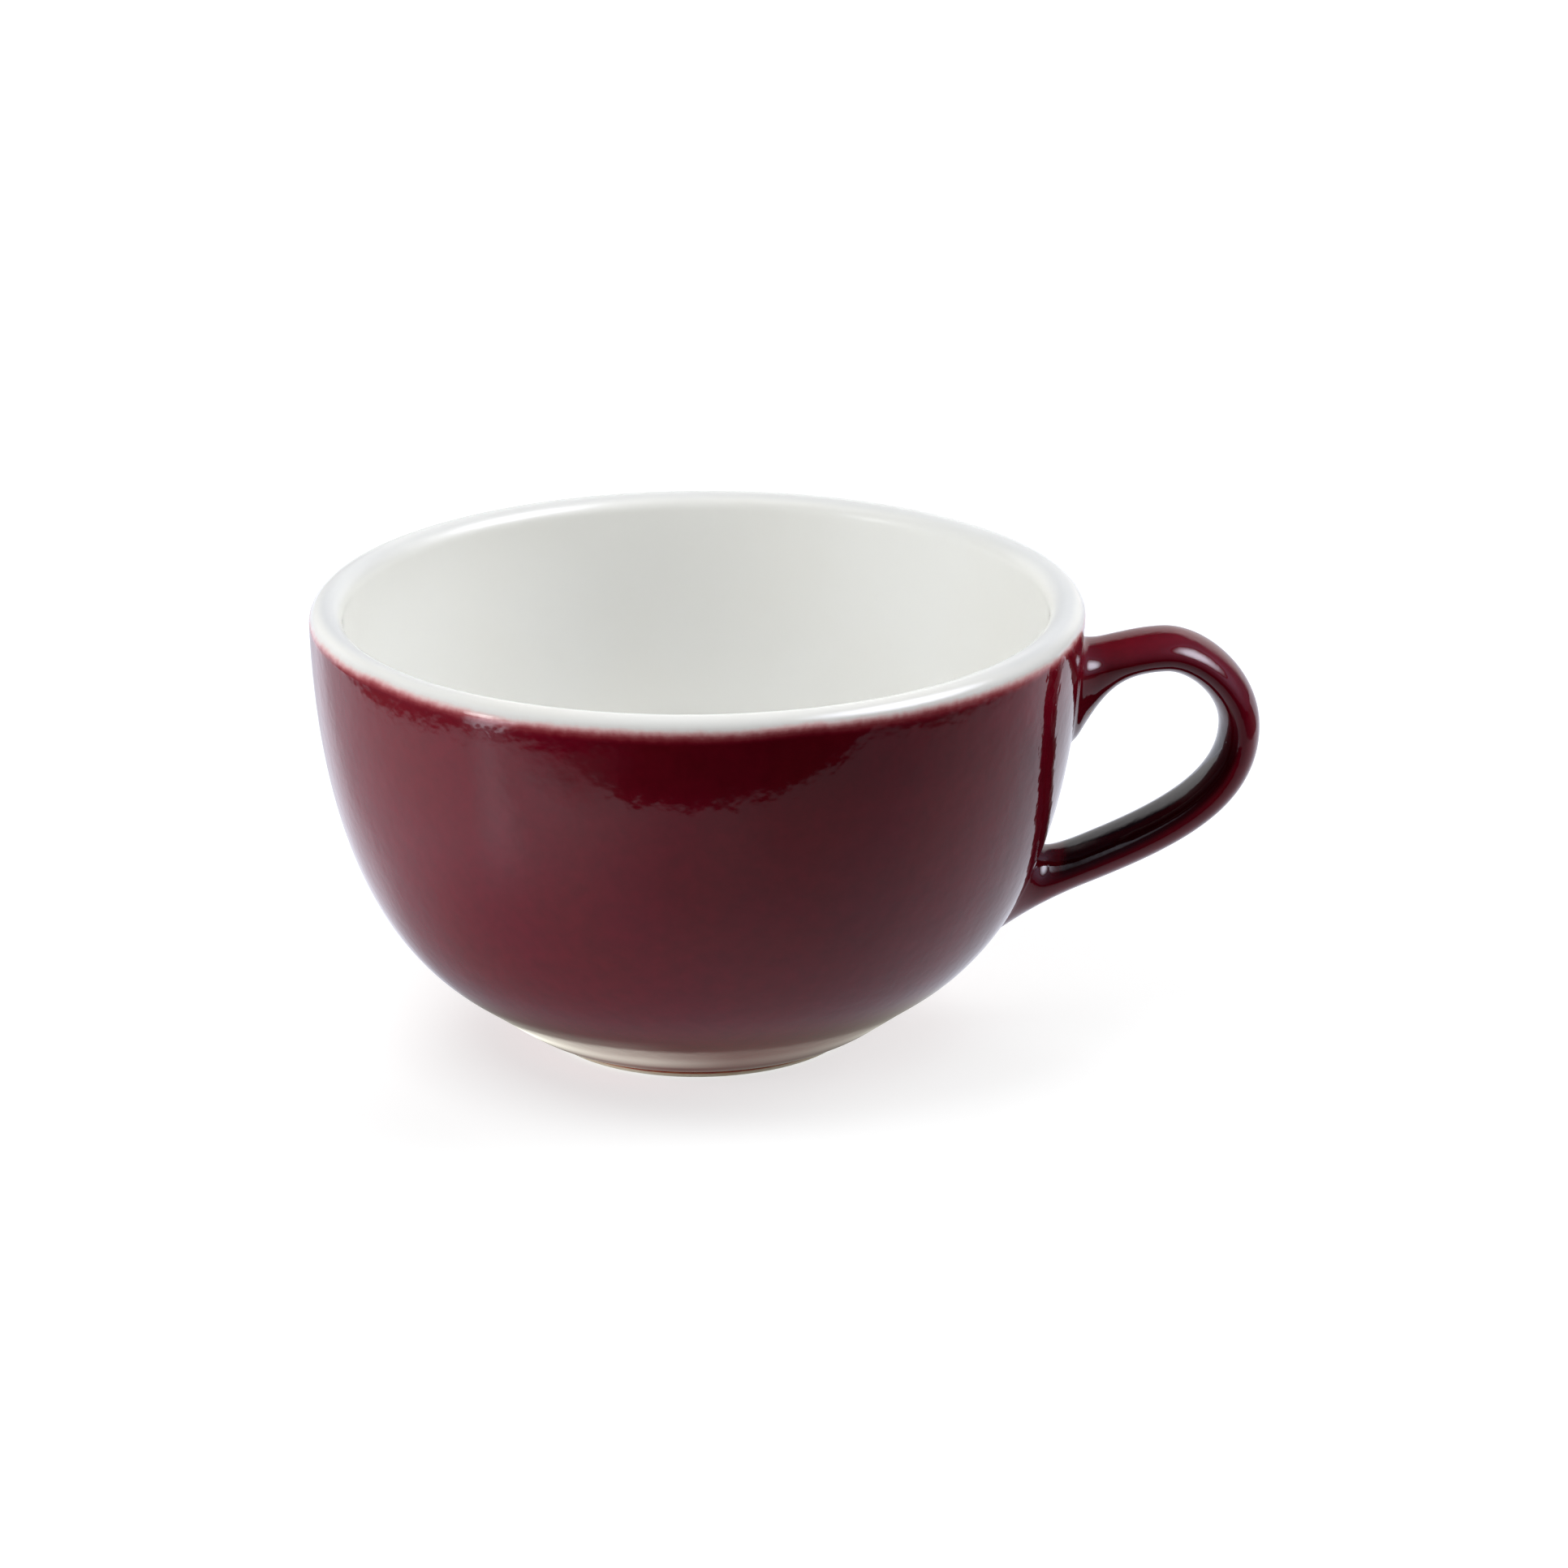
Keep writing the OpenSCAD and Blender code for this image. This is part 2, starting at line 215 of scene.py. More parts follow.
def inner_outline():
    """The inside's glazed surface, from the glaze line over the lip and down to the axis."""
    lip = arc(lip_centre, lip_r, line_angle, 180 - side_lean, 60)
    t = np.linspace(1, 0, 600)
    wall = heel_t + (lip_t - heel_t) * t
    wall_side = cubic(side, t) - wall[:, None] * right_of(cubic_way(side, t))
    edge = wall_side[-1]
    floor_curve = [
        edge,
        edge - 0.8 * (edge[1] - floor_z) / sin(radians(heel_slope)) * heading(heel_slope),
        np.array([0.5 * edge[0], floor_z]),
        np.array([0.0, floor_z]),
    ]
    return np.vstack([lip, wall_side[1:], cubic(floor_curve, np.linspace(0, 1, 240))[1:]])


class Outline:
    """A curve in the plane of radius and height, read by its length."""

    def __init__(self, points):
        self.points = points
        steps = np.linalg.norm(np.diff(points, axis=0), axis=1)
        self.run = np.concatenate([[0], np.cumsum(steps)])
        self.length = self.run[-1]

    def at(self, s):
        """Radius and height at a length."""
        r = np.interp(s, self.run, self.points[:, 0])
        z = np.interp(s, self.run, self.points[:, 1])
        return r, z

    def where_height(self, z):
        """Length at which a rising curve reaches a height."""
        return np.interp(z, self.points[:, 1], self.run)


outer = Outline(outer_outline())
inner = Outline(inner_outline())


def bowl_r(z):
    """Radius of the bowl's outside at a height."""
    return np.interp(z, outer.points[:, 1], outer.points[:, 0])


def wall_slope(z):
    """Slope of the bowl's outside at a height, in degrees above the level."""
    return np.degrees(np.arctan2(2 * lip_r, bowl_r(z + lip_r) - bowl_r(z - lip_r)))


def rim_pull(points):
    """The rim stands out a little above the handle, where drying clay pulled it."""
    radius = np.hypot(points[:, 0], points[:, 1])
    pull = pull_out * smooth_step(*pull_heights, points[:, 2])
    pull = pull * smooth_step(rim_r - 3, rim_r - 1, radius)
    angle = np.arctan2(points[:, 1], points[:, 0])
    pull = pull * np.maximum(0, np.cos(angle)) ** pull_power
    moved = points.copy()
    moved[:, 0] += pull
    return moved


def on_bowl(theta, s):
    """Points of the glazed outside at an azimuth and a length along the outline."""
    r, z = outer.at(s)
    return np.stack([r * np.cos(theta), r * np.sin(theta), z], -1)


# The handle's middle line
upper_root = np.array([bowl_r(upper_root_h) - root_depth_share * lip_t, upper_root_h])
lower_root = np.array([bowl_r(lower_root_h) - root_depth_share * heel_t, lower_root_h])
arch_top = np.array([rim_r + arch_out, handle_top - handle_t / 2])
outermost = np.array([handle_end - handle_t / 2, arch_top[1] - arch_fall])
root_run = arch_top[0] - upper_root[0]
arch_run = outermost[0] - arch_top[0]
tail_fall = outermost[1] - lower_root[1]
tail_run = outermost[0] - lower_root[0]
root_curve = [
    upper_root,
    upper_root + root_arm * root_run * heading(upper_root_slope),
    arch_top - [arch_in_arm * root_run, 0],
    arch_top,
]
arch_curve = [
    arch_top,
    arch_top + [arch_out_arm * arch_run, 0],
    outermost + [0, outermost_arm * arch_fall],
    outermost,
]
tail_curve = [
    outermost,
    outermost - [0, tail_arm * tail_fall],
    lower_root + tail_arm * tail_run * heading(tail_slope),
    lower_root,
]


def stations():
    """Places and directions along the middle line, and where it is the upper half."""
    parts = []
    for curve, count, upper in ((root_curve, 60, True), (arch_curve, 50, True), (tail_curve, 110, False)):
        t = np.arange(count) / count
        if not upper:
            t = np.linspace(0, 1, count)
        parts.append((cubic(curve, t), cubic_way(curve, t), np.full(len(t), upper)))
    return [np.concatenate(p) for p in zip(*parts)]


def flare(size, run, gap, power=flare_power):
    """How far a flare stands out at a gap from the bowl."""
    return size * np.maximum(0, 1 - gap / run) ** power


def handle_lines():
    """The handle's finished surface as rings of points, from inside one wall to inside the other."""
    middle, way, upper = stations()
    over = -right_of(way)
    gap = np.maximum(0, middle[:, 0] - bowl_r(middle[:, 1]))
    upper_lean = tan(radians(90 - wall_slope(upper_root_h) + upper_root_slope))
    lower_lean = tan(radians(90 - wall_slope(lower_root_h) + tail_slope))
    lean = np.where(upper, upper_lean, lower_lean)
    lean = lean * np.maximum(0, 1 - gap / handle_w) ** lean_power
    outside = handle_t / 2 + np.where(
        upper,
        flare(upper_flare_over, small_flare_run, gap),
        flare(lower_flare_under, lower_flare_run, gap),
    )
    inside = handle_t / 2 + np.where(
        upper,
        flare(upper_flare_under, upper_flare_under_run, gap, long_flare_power),
        flare(lower_flare_over, lower_flare_run, gap),
    )
    half_w = handle_w / 2 + flare(side_flare, small_flare_run, gap)
    a = 2 * pi * np.arange(section_steps) / section_steps
    c = np.sign(np.cos(a)) * np.abs(np.cos(a)) ** (2 / section_power)
    s = np.sign(np.sin(a)) * np.abs(np.sin(a)) ** (2 / section_power)
    off = np.where(c[None] > 0, outside[:, None] * c[None], inside[:, None] * c[None])
    lift = over + lean[:, None] * way
    flat = middle[:, None] + off[..., None] * lift[:, None]
    return np.stack([flat[..., 0], half_w[:, None] * s[None], flat[..., 1]], -1)


def height_over_bowl(points):
    """Distance of points from the bowl's outside, below zero within it."""
    r = np.hypot(points[..., 0], points[..., 1])
    z = points[..., 2]
    step = 0.2
    lean = (bowl_r(z + step) - bowl_r(z - step)) / (2 * step)
    return (r - bowl_r(z)) / np.sqrt(1 + lean**2)


def first_crossing(values, level):
    """Where each column of values first rises past a level, as a fraction of the rows."""
    past = values > level
    after = np.maximum(np.argmax(past, axis=0), 1)
    k = np.arange(values.shape[1])
    low, high = values[after - 1, k], values[after, k]
    return after - 1 + (level - low) / (high - low)


def along(lines, rows):
    """Points of each line at a fractional row."""
    k = np.arange(lines.shape[1])
    low = np.clip(np.floor(rows).astype(int), 0, len(lines) - 2)
    share = (rows - low)[..., None]
    return lines[low, k] * (1 - share) + lines[low + 1, k] * share


def smooth_ring(values, passes):
    """Values round a ring, averaged with their neighbours."""
    for _ in range(passes):
        values = (np.roll(values, 1, 0) + 2 * values + np.roll(values, -1, 0)) / 4
    return values


def footprint(meets):
    """The fillet's outer edge on the bowl, as azimuths and lengths, round where the handle meets it."""
    theta = np.arctan2(meets[:, 1], meets[:, 0])
    s = outer.where_height(meets[:, 2])
    radius = np.hypot(meets[:, 0], meets[:, 1]).mean()
    flat = np.stack([theta * radius, s], -1)
    edge = np.roll(flat, -1, 0) - np.roll(flat, 1, 0)
    out = right_of(unit(edge))
    centre = flat.mean(0)
    if ((flat - centre) * out).sum() < 0:
        out = -out
    flat = flat + fillet_spread * unit(smooth_ring(out, 4))
    return flat[:, 0] / radius, flat[:, 1]


def fillet(low, low_way, high, high_way):
    """Rings of a curve that leaves the bowl along it and joins the handle along it."""
    reach = np.linalg.norm(high - low, axis=1, keepdims=True)
    p = [low, low + fillet_pull * reach * low_way, high - fillet_pull * reach * high_way, high]
    return [cubic(p, i / (fillet_rings + 1)) for i in range(1, fillet_rings + 1)]


def joint_rings(lines, loop_theta, loop_s):
    """Rings from a window in the bowl's grid to the handle, and the row at which each line goes on."""
    over = height_over_bowl(lines)
    meet_row = smooth_ring(first_crossing(over, 0.0), 2)
    leave_row = smooth_ring(first_crossing(over, fillet_rise), 2)
    meets = along(lines, meet_row)
    theta, s = footprint(meets)
    low = on_bowl(theta, s)
    meet_theta = np.arctan2(meets[:, 1], meets[:, 0])
    meet_s = outer.where_height(meets[:, 2])
    nudge = 0.05
    toward = on_bowl(theta + nudge * (meet_theta - theta), s + nudge * (meet_s - s))
    low_way = unit(toward - low)
    high = along(lines, leave_row)
    high_way = unit(along(lines, leave_row + 0.6) - along(lines, leave_row - 0.6))
    rings = []
    for i in range(patch_rings + 1):
        t = i / patch_rings
        rings.append(on_bowl(loop_theta + (theta - loop_theta) * t, loop_s + (s - loop_s) * t))
    rings += fillet(low, low_way, high, high_way)
    return rings, leave_row


def window_loop(rows, first, start_high):
    """Azimuths, lengths and grid places round a window, from its top or bottom middle towards +Y."""
    w = window_half
    top = [(window_steps, i) for i in range(w)]
    down = [(j, w) for j in range(window_steps, 0, -1)]
    bottom = [(0, i) for i in range(w, -w, -1)]
    rise = [(j, -w) for j in range(window_steps)]
    back = [(window_steps, i) for i in range(-w, 0)]
    loop = top + down + bottom + rise + back
    if not start_high:
        loop = [(window_steps - j, i) for j, i in loop]
    j = np.array([p[0] for p in loop]) + first
    i = np.array([p[1] for p in loop])
    return 2 * pi * i / columns, rows[j], j, i % columns


def outer_rows():
    """Lengths along the outline of the grid's rows, and the first row of each window."""
    low_start, low_end = (outer.where_height(z) for z in lower_window)
    high_start, high_end = (outer.where_height(z) for z in upper_window)
    foot_end = outer.where_height(foot_h + 0.25)
    rows = [np.linspace(0, foot_end, 17)[:-1], np.linspace(foot_end, low_start, 13)[:-1]]
    low_first = sum(len(r) for r in rows)
    rows += [np.linspace(low_start, low_end, window_steps + 1)[:-1]]
    rows += [np.linspace(low_end, high_start, 10)[:-1]]
    high_first = sum(len(r) for r in rows)
    rows += [np.linspace(high_start, high_end, window_steps + 1)[:-1]]
    rows += [np.linspace(high_end, outer.length, 14)]
    return np.concatenate(rows), low_first, high_first


def glaze_skin():
    """The outside's finished surface with the handle growing out of it: its points, its faces, and
    which of the faces are the handle's."""
    rows, low_first, high_first = outer_rows()
    theta = 2 * pi * np.arange(columns) / columns
    grid = on_bowl(*np.meshgrid(theta, rows)).reshape(-1, 3)
    points = [grid]
    faces, is_handle = [], []
    for j in range(len(rows) - 1):
        for i in range(columns):
            column = (i + columns // 2) % columns - columns // 2
            in_window = any(f <= j < f + window_steps for f in (low_first, high_first))
            if in_window and -window_half <= column < window_half:
                continue
            n = (i + 1) % columns
            row, above = j * columns, (j + 1) * columns
            faces.append((row + i, row + n, above + n, above + i))
            is_handle.append(False)

    lines = handle_lines()
    up_theta, up_s, up_j, up_i = window_loop(rows, high_first, True)
    low_theta, low_s, low_j, low_i = window_loop(rows, low_first, False)
    upper_rings, start = joint_rings(lines, up_theta, up_s)
    lower_rings, end = joint_rings(lines[::-1], low_theta, low_s)
    end = len(lines) - 1 - end
    tube = [along(lines, start + (end - start) * t) for t in np.linspace(0, 1, tube_rings)]

    loops = [up_j * columns + up_i]
    count = len(grid)
    for ring in upper_rings[1:] + tube + lower_rings[:0:-1]:
        points.append(ring)
        loops.append(count + np.arange(section_steps))
        count += section_steps
    loops.append(low_j * columns + low_i)
    for r in range(len(loops) - 1):
        on_handle = patch_rings <= r < len(loops) - 1 - patch_rings
        for k in range(section_steps):
            n = (k + 1) % section_steps
            faces.append((loops[r + 1][k], loops[r + 1][n], loops[r][n], loops[r][k]))
            is_handle.append(on_handle)
    return np.concatenate(points), np.array(faces), np.array(is_handle)


def skin_normals(points, faces):
    """Smooth normals of a mesh of quads."""
    a, b, c, d = (points[faces[:, i]] for i in range(4))
    face_normals = np.cross(c - a, d - b)
    normals = np.zeros_like(points)
    for i in range(4):
        np.add.at(normals, faces[:, i], face_normals)
    lengths = np.linalg.norm(normals, axis=1, keepdims=True)
    return normals / np.maximum(lengths, 1e-12)


def lip_run(depth):
    """Length over the lip's outer half, from its top down to a depth."""
    round_lip = lip_r * np.arccos(np.clip(1 - depth / lip_r, -1, 1))
    return np.where(depth < lip_r, round_lip, lip_r * pi / 2 + depth - lip_r)


def line_distance(points, inside):
    """Millimetres past the line where the white meets the burgundy, above zero on the burgundy."""
    rise = points[:, 2] - lip_centre[1]
    angle = np.arctan2(rise, np.hypot(points[:, 0], points[:, 1]) - lip_centre[0])
    past_lip = rise - pi * lip_r if inside else -rise
    run = pi / 2 * lip_r + np.where(rise > 0, -angle * lip_r, past_lip)
    places, depths = zip(*line_depths)
    round_rim = np.degrees(np.arctan2(points[:, 1], points[:, 0]))
    return run - lip_run(np.interp(round_rim, places, depths, period=360))


def painted_shade_share(points, normals):
    """Share of painted shade, a darker burgundy: inside the handle's tail and over the handle, on the
    bowl beside the handle where the handle shades it, and under the lip in front."""
    x, y, z = points.T
    inward = unit(np.array(loop_middle) - points)
    on_handle = smooth_step(2.5, 4.0, height_over_bowl(points))
    in_loop = on_handle * smooth_step(44, 34, z) * smooth_step(-0.4, 0.25, (normals * inward).sum(-1))
    under_lip = smooth_step(42, 49, z) * smooth_step(-25, -38, y) * smooth_step(-30, -5, x)
    round_bowl = np.abs(np.degrees(np.arctan2(y, x)))
    # Painted shade on the bowl's right, where the handle shades it
    by_handle = shade_on_right * smooth_step(82, 60, round_bowl)
    by_handle = by_handle + shade_by_handle * smooth_step(42, 34, round_bowl)
    by_handle = by_handle * smooth_step(50, 43, z) * (1 - on_handle)
    handle_share = np.maximum(shade_in_loop * in_loop, shade_on_handle * on_handle)
    return np.maximum(handle_share, by_handle) + shade_under_lip * under_lip


def new_object(name, data):
    """A new object in the scene."""
    made = bpy.data.objects.new(name, data)
    bpy.context.scene.collection.objects.link(made)
    return made


def shell(name, points, faces, normals, inside=False):
    """A coat as a closed piece: its finished surface, its underside and the rim between them."""
    used, places = np.unique(faces, return_inverse=True)
    faces = places.reshape(faces.shape)
    points, normals = points[used], normals[used]
    count = len(points)
    under = points - coat_t * normals
    edges = dict.fromkeys(
        (a, b) for face in faces.tolist() for a, b in zip(face, face[1:] + face[:1]) if a != b
    )
    rim = [(b, a, a + count, b + count) for a, b in edges if (b, a) not in edges]
    over_faces = [tuple(f) for f in faces.tolist()]
    under_faces = [tuple(v + count for v in f[::-1]) for f in over_faces]
    points, normals = np.vstack([points, under]), np.vstack([normals, -normals])
    return mesh_piece(name, points, over_faces + under_faces + rim, normals, inside)


def mesh_piece(name, points, faces, normals, inside):
    """A smooth mesh object in metres, with its distance from the glaze line and its share of painted
    shade.
    """
    mesh = bpy.data.meshes.new(name)
    clean = []
    for face in faces:
        corners = [v for i, v in enumerate(face) if v != face[i - 1]]
        if len(corners) > 2:
            clean.append(corners)
    mesh.from_pydata((points * MM).tolist(), [], clean)
    mesh.update()
    mesh.polygons.foreach_set("use_smooth", [True] * len(mesh.polygons))
    mesh.normals_split_custom_set_from_vertices(normals.tolist())
    stored = {"line_mm": line_distance(points, inside), "painted_shade": painted_shade_share(points, normals)}
    for key, values in stored.items():
        mesh.attributes.new(key, "FLOAT", "POINT").data.foreach_set("value", values.astype(np.float32))
    return new_object(name, mesh)


def revolved(outline, rows):
    """Points and quads of an outline turned about the axis, on which its last point lies."""
    theta = 2 * pi * np.arange(columns) / columns
    r, z = outline.at(rows)
    points = np.stack(
        [np.outer(r, np.cos(theta)), np.outer(r, np.sin(theta)), np.repeat(z[:, None], columns, 1)], -1
    ).reshape(-1, 3)
    faces = []
    for j in range(len(rows) - 1):
        row, after = j * columns, (j + 1) * columns
        for i in range(columns):
            n = (i + 1) % columns
            faces.append((row + i, row + n, after + n, after + i))
    pole = (len(rows) - 1) * columns
    return points, np.minimum(faces, pole)


# Materials

RANGE_SOCKETS = ("From Min", "From Max", "To Min", "To Max")
REFRACTION = 1.5


class Nodes:
    """Short calls for the nodes of a material or of the world."""

    def __init__(self, owner, place="Object"):
        owner.use_nodes = True
        self.owner = owner
        self.tree = owner.node_tree
        self.place = self.add("ShaderNodeTexCoord").outputs[place]

    def add(self, kind, **settings):
        node = self.tree.nodes.new(kind)
        for key, value in settings.items():
            setattr(node, key, value)
        return node

    def link(self, source, target):
        self.tree.links.new(source, target)

    def put(self, socket, value):
        if isinstance(value, bpy.types.NodeSocket):
            self.link(value, socket)
        elif isinstance(value, tuple):
            socket.default_value = (*value, 1)
        else:
            socket.default_value = value

    def noise(self, size_mm, detail=2.0, roughness=0.5):
        node = self.add("ShaderNodeTexNoise")
        node.inputs["Scale"].default_value = 1 / (size_mm * MM)
        node.inputs["Detail"].default_value = detail
        node.inputs["Roughness"].default_value = roughness
        self.link(self.place, node.inputs["Vector"])
        return node.outputs["Fac"]

    def math(self, operation, a, b=0.0, c=0.0):
        node = self.add("ShaderNodeMath", operation=operation)
        for socket, value in zip(node.inputs, (a, b, c)):
            self.put(socket, value)
        return node.outputs[0]

    def plus(self, first, *others):
        for other in others:
            first = self.math("ADD", first, other)
        return first

    def minus(self, first, second):
        return self.math("SUBTRACT", first, second)

    def times(self, first, *others):
        for other in others:
            first = self.math("MULTIPLY", first, other)
        return first

    def axes(self):
        """The place's x, y and z."""
        node = self.add("ShaderNodeSeparateXYZ")
        self.link(self.place, node.inputs[0])
        return node.outputs

    def toward(self, way):
        """How far the place lies along a direction."""
        node = self.add("ShaderNodeVectorMath", operation="DOT_PRODUCT")
        self.link(self.place, node.inputs[0])
        node.inputs[1].default_value = way
        return node.outputs["Value"]

    def length(self, vector):
        node = self.add("ShaderNodeVectorMath", operation="LENGTH")
        self.link(vector, node.inputs[0])
        return node.outputs["Value"]

    def between(self, value, from_low, from_high, to_low, to_high, smooth=False):
        node = self.add("ShaderNodeMapRange", interpolation_type="SMOOTHSTEP" if smooth else "LINEAR")
        for key, number in zip(RANGE_SOCKETS, (from_low, from_high, to_low, to_high)):
            node.inputs[key].default_value = number
        self.put(node.inputs["Value"], value)
        return node.outputs["Result"]

    def slope(self, value, start_mm, end_mm, at_start, at_end):
        """A straight change between two places in millimetres."""
        return self.between(value, start_mm * MM, end_mm * MM, at_start, at_end)

    def fade(self, value, start_mm, end_mm, at_start, at_end):
        """A soft step between two places in millimetres."""
        return self.between(value, start_mm * MM, end_mm * MM, at_start, at_end, smooth=True)

    def ramp(self, value, stops):
        node = self.add("ShaderNodeValToRGB")
        elements = node.color_ramp.elements
        while len(elements) < len(stops):
            elements.new(0.5)
        for element, (position, colour) in zip(elements, stops):
            element.position = position
            element.color = (*colour, 1)
        self.put(node.inputs["Fac"], value)
        return node.outputs["Color"]

    def mix(self, share, a, b):
        node = self.add("ShaderNodeMix", data_type="RGBA")
        self.put(node.inputs["Factor"], share)
        self.put(node.inputs["A"], a)
        self.put(node.inputs["B"], b)
        return node.outputs["Result"]

    def speck(self, cell_mm, radius_mm, chance):
        """1 in small round specks, one in each chosen cell."""
        node = self.add("ShaderNodeTexVoronoi")
        node.inputs["Scale"].default_value = 1 / (cell_mm * MM)
        self.link(self.place, node.inputs["Vector"])
        chosen = self.add("ShaderNodeSeparateColor")
        self.link(node.outputs["Color"], chosen.inputs["Color"])
        near = self.between(node.outputs["Distance"], 0.0, radius_mm / cell_mm, 1.0, 0.0, smooth=True)
        return self.times(near, self.math("LESS_THAN", chosen.outputs[0], chance))

    def bump(self, height, depth_mm, onto=None):
        node = self.add("ShaderNodeBump")
        node.inputs["Strength"].default_value = 1.0
        node.inputs["Distance"].default_value = depth_mm * MM
        self.put(node.inputs["Height"], height)
        if onto is not None:
            self.link(onto, node.inputs["Normal"])
        return node.outputs["Normal"]

    def attribute(self, name):
        return self.add("ShaderNodeAttribute", attribute_name=name).outputs["Fac"]

    def surface(self, colour, roughness, normal):
        """The finished material, from its colour, its roughness and its bumps."""
        shader = self.tree.nodes["Principled BSDF"]
        self.put(shader.inputs["Base Color"], colour)
        self.put(shader.inputs["Roughness"], roughness)
        shader.inputs["IOR"].default_value = REFRACTION
        self.link(normal, shader.inputs["Normal"])
        return self.owner

    def glow(self, colour, strength, kind="ShaderNodeEmission"):
        node = self.add(kind)
        self.put(node.inputs["Color"], colour)
        self.put(node.inputs["Strength"], strength)
        return node.outputs[0]

    def both(self, first, second):
        """Two shaders added to each other."""
        node = self.add("ShaderNodeAddShader")
        self.link(first, node.inputs[0])
        self.link(second, node.inputs[1])
        return node.outputs[0]

    def either(self, share, first, second):
        """One shader where the share is 0 and another where it is 1."""
        node = self.add("ShaderNodeMixShader")
        for socket, value in zip(node.inputs, (share, first, second)):
            self.link(value, socket)
        return node.outputs[0]

    def shine(self, shader):
        """The finished material, which has another shader in place of its first one."""
        self.tree.nodes.remove(self.tree.nodes["Principled BSDF"])
        self.link(shader, self.tree.nodes["Material Output"].inputs["Surface"])
        return self.owner


def nodes_of(name):
    """The nodes of a new material."""
    return Nodes(bpy.data.materials.new(name))


BURGUNDY = (0.150, 0.0012, 0.0110)
BURGUNDY_BROWN = (0.145, 0.0060, 0.0080)
# Darker burgundy of the painted shade
SHADED_BURGUNDY = (0.007, 0.0003, 0.0008)
# Paler burgundy: painted light on the left, and a paler tone towards the bottom
PALE_BURGUNDY = (0.235, 0.0060, 0.0140)
WHITE = (0.83, 0.835, 0.815)
WARM_WHITE = (0.82, 0.82, 0.79)
# Greyer white of the painted shade on the lip
SHADED_LIP_WHITE = (0.62, 0.635, 0.65)
DARK_PINHOLE = (0.020, 0.001, 0.002)
PINK_SPECK = (0.42, 0.10, 0.07)
FOOT_BROWN = (0.36, 0.12, 0.055)
IRON_SPECK = (0.42, 0.38, 0.33)
WARM_CLAY = (0.62, 0.47, 0.34)
# Browner clay of the foot: partly scorched flashing, partly painted shade
SCORCHED_AND_SHADED_CLAY = (0.46, 0.27, 0.16)
TURNING_MARK_MM = 0.45
BURGUNDY_ROUGHNESS, WHITE_ROUGHNESS, CLAY_ROUGHNESS = (0.035, 0.075), (0.05, 0.09), (0.55, 0.75)

# Colours over the glaze's edge, by millimetres past the line
LINE_STOPS = (
    (-0.75, WHITE),
    (-0.30, (0.80, 0.78, 0.76)),
    (0.00, (0.79, 0.61, 0.59)),
    (0.25, (0.69, 0.36, 0.36)),
    (0.58, (0.43, 0.120, 0.130)),
    (0.88, (0.27, 0.036, 0.046)),
    (1.25, (0.185, 0.009, 0.018)),
    (1.70, BURGUNDY),
)


def line_colour(n, burgundy):
    """White, through a thin pink edge, to burgundy, by the distance from the glaze line."""
    low, high = LINE_STOPS[0][0], LINE_STOPS[-1][0]
    wander = n.between(n.noise(16.0, detail=1.0), 0.3, 0.7, -0.22, 0.22)
    ripple = n.between(n.noise(1.1, detail=2.0), 0.3, 0.7, -0.10, 0.10)
    place = n.plus(n.attribute("line_mm"), n.plus(wander, ripple))
    share = n.between(place, low, high, 0.0, 1.0)
    tint = n.ramp(share, [((at - low) / (high - low), colour) for at, colour in LINE_STOPS])
    return n.mix(n.between(place, 1.2, high, 0.0, 1.0), tint, burgundy)


def burgundy_glaze():
    """Glossy burgundy glaze: orange peel, pinholes, mottling, thin pink or brown edges, painted shade by
    the handle and under the lip, and painted light on the left.
    """
    n = nodes_of("burgundy_glaze")
    mottle = n.between(n.noise(14.0, detail=3.0), 0.35, 0.7, 0.0, 0.55)
    body = n.mix(mottle, BURGUNDY, BURGUNDY_BROWN)
    cloud = n.between(n.noise(2.2, detail=3.0, roughness=0.6), 0.3, 0.7, 0.88, 1.10)
    value = n.add("ShaderNodeHueSaturation")
    n.put(value.inputs["Color"], body)
    n.put(value.inputs["Value"], cloud)
    body = value.outputs["Color"]
    body = n.mix(n.times(n.speck(3.2, radius_mm=0.16, chance=0.20), 0.75), body, DARK_PINHOLE)
    body = n.mix(n.times(n.speck(5.5, radius_mm=0.13, chance=0.16), 0.6), body, PINK_SPECK)
    x, _, z = n.axes()
    # Painted light: a paler burgundy on the left, where the lamps from the left light the bowl more
    body = n.mix(n.fade(x, -20, -46, 0.0, 0.35), body, PALE_BURGUNDY)
    # Painted shade: a darker burgundy inside the handle's loop, on the handle, beside it and under the
    # lip in front
    body = n.mix(n.attribute("painted_shade"), body, SHADED_BURGUNDY)
    # Paler burgundy towards the bottom
    body = n.mix(n.fade(z, 9.5, 6.0, 0.0, 0.6), body, PALE_BURGUNDY)
    foot = n.plus(z, n.between(n.noise(1.5), 0.3, 0.7, -0.15 * MM, 0.15 * MM))
    body = n.mix(n.slope(foot, 0.62, 1.0, 0.85, 0.0), body, FOOT_BROWN)
    colour = line_colour(n, body)
    roughness = n.between(n.noise(3.0, detail=3.0, roughness=0.6), 0.3, 0.7, *BURGUNDY_ROUGHNESS)
    calm = n.fade(z, 6, 15, 0.15, 1.0)
    peel = n.bump(n.times(n.noise(1.5, detail=1.5, roughness=0.45), calm), depth_mm=0.028)
    swell = n.bump(n.times(n.noise(6.5, detail=1.0), calm), depth_mm=0.045, onto=peel)
    round_pits = n.minus(1.0, n.speck(2.1, radius_mm=0.10, chance=0.12))
    pits = n.bump(round_pits, depth_mm=0.03, onto=swell)
    return n.surface(colour, roughness, pits)


